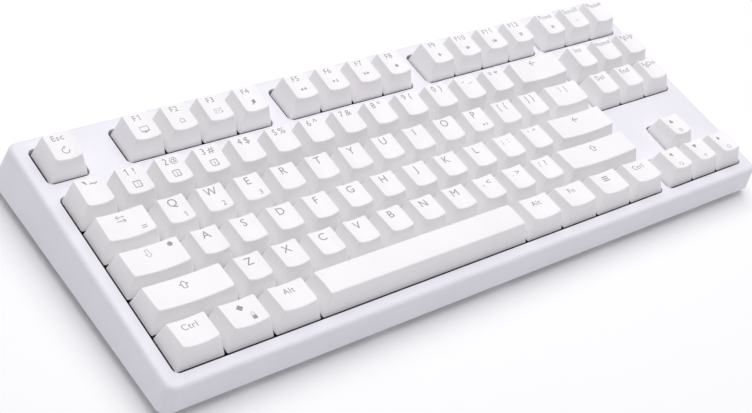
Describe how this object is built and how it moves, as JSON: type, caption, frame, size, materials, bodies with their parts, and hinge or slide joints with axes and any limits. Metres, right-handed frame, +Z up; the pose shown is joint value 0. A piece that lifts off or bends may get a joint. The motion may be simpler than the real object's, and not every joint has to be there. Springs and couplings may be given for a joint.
{
  "type": "mechanical keyboard",
  "caption": "Compact full-travel desktop keyboard without a number pad, with sculpted caps on spring switches in a two-part case.",
  "frame": {"origin": "on the table under the middle of the keyboard's footprint", "axes": "+Z up, +X to the typist's right along the keyboard's length, the front edge faces -Y"},
  "size_m": [0.3672, 0.1426, 0.0373],
  "materials": {
    "case_plastic": "satin white injection-moulded plastic",
    "keycap_plastic": "fine-textured white double-shot plastic",
    "tray_plastic": "textured white plastic",
    "plate_steel": "black powder-coated steel",
    "board_laminate": "green solder mask",
    "component_black": "black epoxy",
    "led_lens": "clear epoxy",
    "port_steel": "nickel plated",
    "switch_black": "black nylon",
    "spring_steel": "bright spring wire",
    "contact_brass": "gold-flashed copper alloy",
    "stab_plastic": "black acetal",
    "wire_steel": "bright steel wire",
    "pad_rubber": "grey rubber",
    "screw_steel": "zinc plated"
  },
  "bodies": {
    "case": {"top_case": "case_plastic", "bottom_case": "tray_plastic", "switch_plate": "plate_steel", "circuit_board": "board_laminate", "board_components": "component_black", "caps_lock_led": "led_lens", "usb_socket": "port_steel", "switch_bottom_housings": "switch_black", "switch_top_housings": "switch_black", "switch_springs": "spring_steel", "switch_contacts": "contact_brass", "stabilizer_housings": "stab_plastic", "rubber_feet": "pad_rubber", "case_screws": "screw_steel"},
    "key_esc": {"key_esc": "keycap_plastic"},
    "key_backspace": {"key_backspace": "keycap_plastic"},
    "key_q": {"key_q": "keycap_plastic"},
    "key_w": {"key_w": "keycap_plastic"},
    "key_e": {"key_e": "keycap_plastic"},
    "key_r": {"key_r": "keycap_plastic"},
    "key_t": {"key_t": "keycap_plastic"},
    "key_y": {"key_y": "keycap_plastic"},
    "key_u": {"key_u": "keycap_plastic"},
    "key_i": {"key_i": "keycap_plastic"},
    "key_o": {"key_o": "keycap_plastic"},
    "key_p": {"key_p": "keycap_plastic"},
    "key_a": {"key_a": "keycap_plastic"},
    "key_s": {"key_s": "keycap_plastic"},
    "key_d": {"key_d": "keycap_plastic"},
    "key_f": {"key_f": "keycap_plastic"},
    "key_g": {"key_g": "keycap_plastic"},
    "key_h": {"key_h": "keycap_plastic"},
    "key_j": {"key_j": "keycap_plastic"},
    "key_k": {"key_k": "keycap_plastic"},
    "key_l": {"key_l": "keycap_plastic"},
    "key_enter": {"key_enter": "keycap_plastic"},
    "key_left_shift": {"key_left_shift": "keycap_plastic"},
    "key_z": {"key_z": "keycap_plastic"},
    "key_x": {"key_x": "keycap_plastic"},
    "key_c": {"key_c": "keycap_plastic"},
    "key_v": {"key_v": "keycap_plastic"},
    "key_b": {"key_b": "keycap_plastic"},
    "key_n": {"key_n": "keycap_plastic"},
    "key_m": {"key_m": "keycap_plastic"},
    "key_right_shift": {"key_right_shift": "keycap_plastic"},
    "key_space": {"key_space": "keycap_plastic"},
    "function_keys": {"function_keys": "keycap_plastic"},
    "number_keys": {"number_keys": "keycap_plastic"},
    "tab_caps_keys": {"tab_caps_keys": "keycap_plastic"},
    "punctuation_keys": {"punctuation_keys": "keycap_plastic"},
    "bottom_row_keys": {"bottom_row_keys": "keycap_plastic"},
    "navigation_keys": {"navigation_keys": "keycap_plastic"},
    "arrow_keys": {"arrow_keys": "keycap_plastic"},
    "stabilizer_wire_space": {"stabilizer_wire_space": "wire_steel"},
    "stabilizer_wire_enter": {"stabilizer_wire_enter": "wire_steel"},
    "stabilizer_wire_backspace": {"stabilizer_wire_backspace": "wire_steel"},
    "stabilizer_wire_left_shift": {"stabilizer_wire_left_shift": "wire_steel"},
    "stabilizer_wire_right_shift": {"stabilizer_wire_right_shift": "wire_steel"},
    "left_flip_foot": {"left_flip_foot": "tray_plastic"},
    "right_flip_foot": {"right_flip_foot": "tray_plastic"}
  },
  "joints": [
    {"name": "flip_foot_left_fold", "type": "hinge", "parent": "case", "child": "left_flip_foot", "pos_m": [-0.118, 0.05629, 0.0042], "axis": [1, 0, 0], "range_deg": [0, 100]},
    {"name": "flip_foot_right_fold", "type": "hinge", "parent": "case", "child": "right_flip_foot", "pos_m": [0.118, 0.05629, 0.0042], "axis": [1, 0, 0], "range_deg": [0, 100]},
    {"name": "key_backspace_travel", "type": "slide", "parent": "case", "child": "key_backspace", "axis": [0, 0.0645, -0.9979], "range_m": [0, 0.004], "stiffness_N_per_m": 75, "springref_m": -0.004, "deforming": ["switch_springs"]},
    {"name": "key_enter_travel", "type": "slide", "parent": "case", "child": "key_enter", "axis": [0, 0.0645, -0.9979], "range_m": [0, 0.004], "stiffness_N_per_m": 75, "springref_m": -0.004, "deforming": ["switch_springs"]},
    {"name": "key_left_shift_travel", "type": "slide", "parent": "case", "child": "key_left_shift", "axis": [0, 0.0645, -0.9979], "range_m": [0, 0.004], "stiffness_N_per_m": 75, "springref_m": -0.004, "deforming": ["switch_springs"]},
    {"name": "key_right_shift_travel", "type": "slide", "parent": "case", "child": "key_right_shift", "axis": [0, 0.0645, -0.9979], "range_m": [0, 0.004], "stiffness_N_per_m": 75, "springref_m": -0.004, "deforming": ["switch_springs"]},
    {"name": "key_space_travel", "type": "slide", "parent": "case", "child": "key_space", "axis": [0, 0.0645, -0.9979], "range_m": [0, 0.004], "stiffness_N_per_m": 75, "springref_m": -0.004, "deforming": ["switch_springs"]},
    {"name": "stabilizer_wire_space_swing", "type": "hinge", "parent": "case", "child": "stabilizer_wire_space", "pos_m": [-0.04286, -0.06239, 0.0094], "axis": [1, 0, 0], "range_deg": [-26, 0]},
    {"name": "stabilizer_wire_enter_swing", "type": "hinge", "parent": "case", "child": "stabilizer_wire_enter", "pos_m": [0.09049, -0.02437, 0.01186], "axis": [1, 0, 0], "range_deg": [-26, 0]},
    {"name": "stabilizer_wire_backspace_swing", "type": "hinge", "parent": "case", "child": "stabilizer_wire_backspace", "pos_m": [0.09287, 0.01365, 0.01432], "axis": [1, 0, 0], "range_deg": [-26, 0]},
    {"name": "stabilizer_wire_left_shift_swing", "type": "hinge", "parent": "case", "child": "stabilizer_wire_left_shift", "pos_m": [-0.1524, -0.04338, 0.01063], "axis": [1, 0, 0], "range_deg": [-26, 0]},
    {"name": "stabilizer_wire_right_shift_swing", "type": "hinge", "parent": "case", "child": "stabilizer_wire_right_shift", "pos_m": [0.08572, -0.04338, 0.01063], "axis": [1, 0, 0], "range_deg": [-26, 0]},
    {"name": "function_keys_travel", "type": "slide", "parent": "case", "child": "function_keys", "axis": [0, 0.0645, -0.9979], "range_m": [0, 0.004], "stiffness_N_per_m": 900, "springref_m": -0.004, "deforming": ["switch_springs"]},
    {"name": "number_keys_travel", "type": "slide", "parent": "case", "child": "number_keys", "axis": [0, 0.0645, -0.9979], "range_m": [0, 0.004], "stiffness_N_per_m": 975, "springref_m": -0.004, "deforming": ["switch_springs"]},
    {"name": "tab_caps_keys_travel", "type": "slide", "parent": "case", "child": "tab_caps_keys", "axis": [0, 0.0645, -0.9979], "range_m": [0, 0.004], "stiffness_N_per_m": 150, "springref_m": -0.004, "deforming": ["switch_springs"]},
    {"name": "punctuation_keys_travel", "type": "slide", "parent": "case", "child": "punctuation_keys", "axis": [0, 0.0645, -0.9979], "range_m": [0, 0.004], "stiffness_N_per_m": 600, "springref_m": -0.004, "deforming": ["switch_springs"]},
    {"name": "bottom_row_keys_travel", "type": "slide", "parent": "case", "child": "bottom_row_keys", "axis": [0, 0.0645, -0.9979], "range_m": [0, 0.004], "stiffness_N_per_m": 525, "springref_m": -0.004, "deforming": ["switch_springs"]},
    {"name": "navigation_keys_travel", "type": "slide", "parent": "case", "child": "navigation_keys", "axis": [0, 0.0645, -0.9979], "range_m": [0, 0.004], "stiffness_N_per_m": 675, "springref_m": -0.004, "deforming": ["switch_springs"]},
    {"name": "arrow_keys_travel", "type": "slide", "parent": "case", "child": "arrow_keys", "axis": [0, 0.0645, -0.9979], "range_m": [0, 0.004], "stiffness_N_per_m": 300, "springref_m": -0.004, "deforming": ["switch_springs"]},
    {"name": "key_esc_travel", "type": "slide", "parent": "case", "child": "key_esc", "axis": [0, 0.0645, -0.9979], "range_m": [0, 0.004], "stiffness_N_per_m": 75, "springref_m": -0.004, "deforming": ["switch_springs"]},
    {"name": "key_q_travel", "type": "slide", "parent": "case", "child": "key_q", "axis": [0, 0.0645, -0.9979], "range_m": [0, 0.004], "stiffness_N_per_m": 75, "springref_m": -0.004, "deforming": ["switch_springs"]},
    {"name": "key_w_travel", "type": "slide", "parent": "case", "child": "key_w", "axis": [0, 0.0645, -0.9979], "range_m": [0, 0.004], "stiffness_N_per_m": 75, "springref_m": -0.004, "deforming": ["switch_springs"]},
    {"name": "key_e_travel", "type": "slide", "parent": "case", "child": "key_e", "axis": [0, 0.0645, -0.9979], "range_m": [0, 0.004], "stiffness_N_per_m": 75, "springref_m": -0.004, "deforming": ["switch_springs"]},
    {"name": "key_r_travel", "type": "slide", "parent": "case", "child": "key_r", "axis": [0, 0.0645, -0.9979], "range_m": [0, 0.004], "stiffness_N_per_m": 75, "springref_m": -0.004, "deforming": ["switch_springs"]},
    {"name": "key_t_travel", "type": "slide", "parent": "case", "child": "key_t", "axis": [0, 0.0645, -0.9979], "range_m": [0, 0.004], "stiffness_N_per_m": 75, "springref_m": -0.004, "deforming": ["switch_springs"]},
    {"name": "key_y_travel", "type": "slide", "parent": "case", "child": "key_y", "axis": [0, 0.0645, -0.9979], "range_m": [0, 0.004], "stiffness_N_per_m": 75, "springref_m": -0.004, "deforming": ["switch_springs"]},
    {"name": "key_u_travel", "type": "slide", "parent": "case", "child": "key_u", "axis": [0, 0.0645, -0.9979], "range_m": [0, 0.004], "stiffness_N_per_m": 75, "springref_m": -0.004, "deforming": ["switch_springs"]},
    {"name": "key_i_travel", "type": "slide", "parent": "case", "child": "key_i", "axis": [0, 0.0645, -0.9979], "range_m": [0, 0.004], "stiffness_N_per_m": 75, "springref_m": -0.004, "deforming": ["switch_springs"]},
    {"name": "key_o_travel", "type": "slide", "parent": "case", "child": "key_o", "axis": [0, 0.0645, -0.9979], "range_m": [0, 0.004], "stiffness_N_per_m": 75, "springref_m": -0.004, "deforming": ["switch_springs"]},
    {"name": "key_p_travel", "type": "slide", "parent": "case", "child": "key_p", "axis": [0, 0.0645, -0.9979], "range_m": [0, 0.004], "stiffness_N_per_m": 75, "springref_m": -0.004, "deforming": ["switch_springs"]},
    {"name": "key_a_travel", "type": "slide", "parent": "case", "child": "key_a", "axis": [0, 0.0645, -0.9979], "range_m": [0, 0.004], "stiffness_N_per_m": 75, "springref_m": -0.004, "deforming": ["switch_springs"]},
    {"name": "key_s_travel", "type": "slide", "parent": "case", "child": "key_s", "axis": [0, 0.0645, -0.9979], "range_m": [0, 0.004], "stiffness_N_per_m": 75, "springref_m": -0.004, "deforming": ["switch_springs"]},
    {"name": "key_d_travel", "type": "slide", "parent": "case", "child": "key_d", "axis": [0, 0.0645, -0.9979], "range_m": [0, 0.004], "stiffness_N_per_m": 75, "springref_m": -0.004, "deforming": ["switch_springs"]},
    {"name": "key_f_travel", "type": "slide", "parent": "case", "child": "key_f", "axis": [0, 0.0645, -0.9979], "range_m": [0, 0.004], "stiffness_N_per_m": 75, "springref_m": -0.004, "deforming": ["switch_springs"]},
    {"name": "key_g_travel", "type": "slide", "parent": "case", "child": "key_g", "axis": [0, 0.0645, -0.9979], "range_m": [0, 0.004], "stiffness_N_per_m": 75, "springref_m": -0.004, "deforming": ["switch_springs"]},
    {"name": "key_h_travel", "type": "slide", "parent": "case", "child": "key_h", "axis": [0, 0.0645, -0.9979], "range_m": [0, 0.004], "stiffness_N_per_m": 75, "springref_m": -0.004, "deforming": ["switch_springs"]},
    {"name": "key_j_travel", "type": "slide", "parent": "case", "child": "key_j", "axis": [0, 0.0645, -0.9979], "range_m": [0, 0.004], "stiffness_N_per_m": 75, "springref_m": -0.004, "deforming": ["switch_springs"]},
    {"name": "key_k_travel", "type": "slide", "parent": "case", "child": "key_k", "axis": [0, 0.0645, -0.9979], "range_m": [0, 0.004], "stiffness_N_per_m": 75, "springref_m": -0.004, "deforming": ["switch_springs"]},
    {"name": "key_l_travel", "type": "slide", "parent": "case", "child": "key_l", "axis": [0, 0.0645, -0.9979], "range_m": [0, 0.004], "stiffness_N_per_m": 75, "springref_m": -0.004, "deforming": ["switch_springs"]},
    {"name": "key_z_travel", "type": "slide", "parent": "case", "child": "key_z", "axis": [0, 0.0645, -0.9979], "range_m": [0, 0.004], "stiffness_N_per_m": 75, "springref_m": -0.004, "deforming": ["switch_springs"]},
    {"name": "key_x_travel", "type": "slide", "parent": "case", "child": "key_x", "axis": [0, 0.0645, -0.9979], "range_m": [0, 0.004], "stiffness_N_per_m": 75, "springref_m": -0.004, "deforming": ["switch_springs"]},
    {"name": "key_c_travel", "type": "slide", "parent": "case", "child": "key_c", "axis": [0, 0.0645, -0.9979], "range_m": [0, 0.004], "stiffness_N_per_m": 75, "springref_m": -0.004, "deforming": ["switch_springs"]},
    {"name": "key_v_travel", "type": "slide", "parent": "case", "child": "key_v", "axis": [0, 0.0645, -0.9979], "range_m": [0, 0.004], "stiffness_N_per_m": 75, "springref_m": -0.004, "deforming": ["switch_springs"]},
    {"name": "key_b_travel", "type": "slide", "parent": "case", "child": "key_b", "axis": [0, 0.0645, -0.9979], "range_m": [0, 0.004], "stiffness_N_per_m": 75, "springref_m": -0.004, "deforming": ["switch_springs"]},
    {"name": "key_n_travel", "type": "slide", "parent": "case", "child": "key_n", "axis": [0, 0.0645, -0.9979], "range_m": [0, 0.004], "stiffness_N_per_m": 75, "springref_m": -0.004, "deforming": ["switch_springs"]},
    {"name": "key_m_travel", "type": "slide", "parent": "case", "child": "key_m", "axis": [0, 0.0645, -0.9979], "range_m": [0, 0.004], "stiffness_N_per_m": 75, "springref_m": -0.004, "deforming": ["switch_springs"]}
  ],
  "couplings": [
    {"joint": "stabilizer_wire_space_swing", "follows": "key_space_travel", "rad_per_m": -111.11},
    {"joint": "stabilizer_wire_enter_swing", "follows": "key_enter_travel", "rad_per_m": -111.11},
    {"joint": "stabilizer_wire_backspace_swing", "follows": "key_backspace_travel", "rad_per_m": -111.11},
    {"joint": "stabilizer_wire_left_shift_swing", "follows": "key_left_shift_travel", "rad_per_m": -111.11},
    {"joint": "stabilizer_wire_right_shift_swing", "follows": "key_right_shift_travel", "rad_per_m": -111.11}
  ]
}
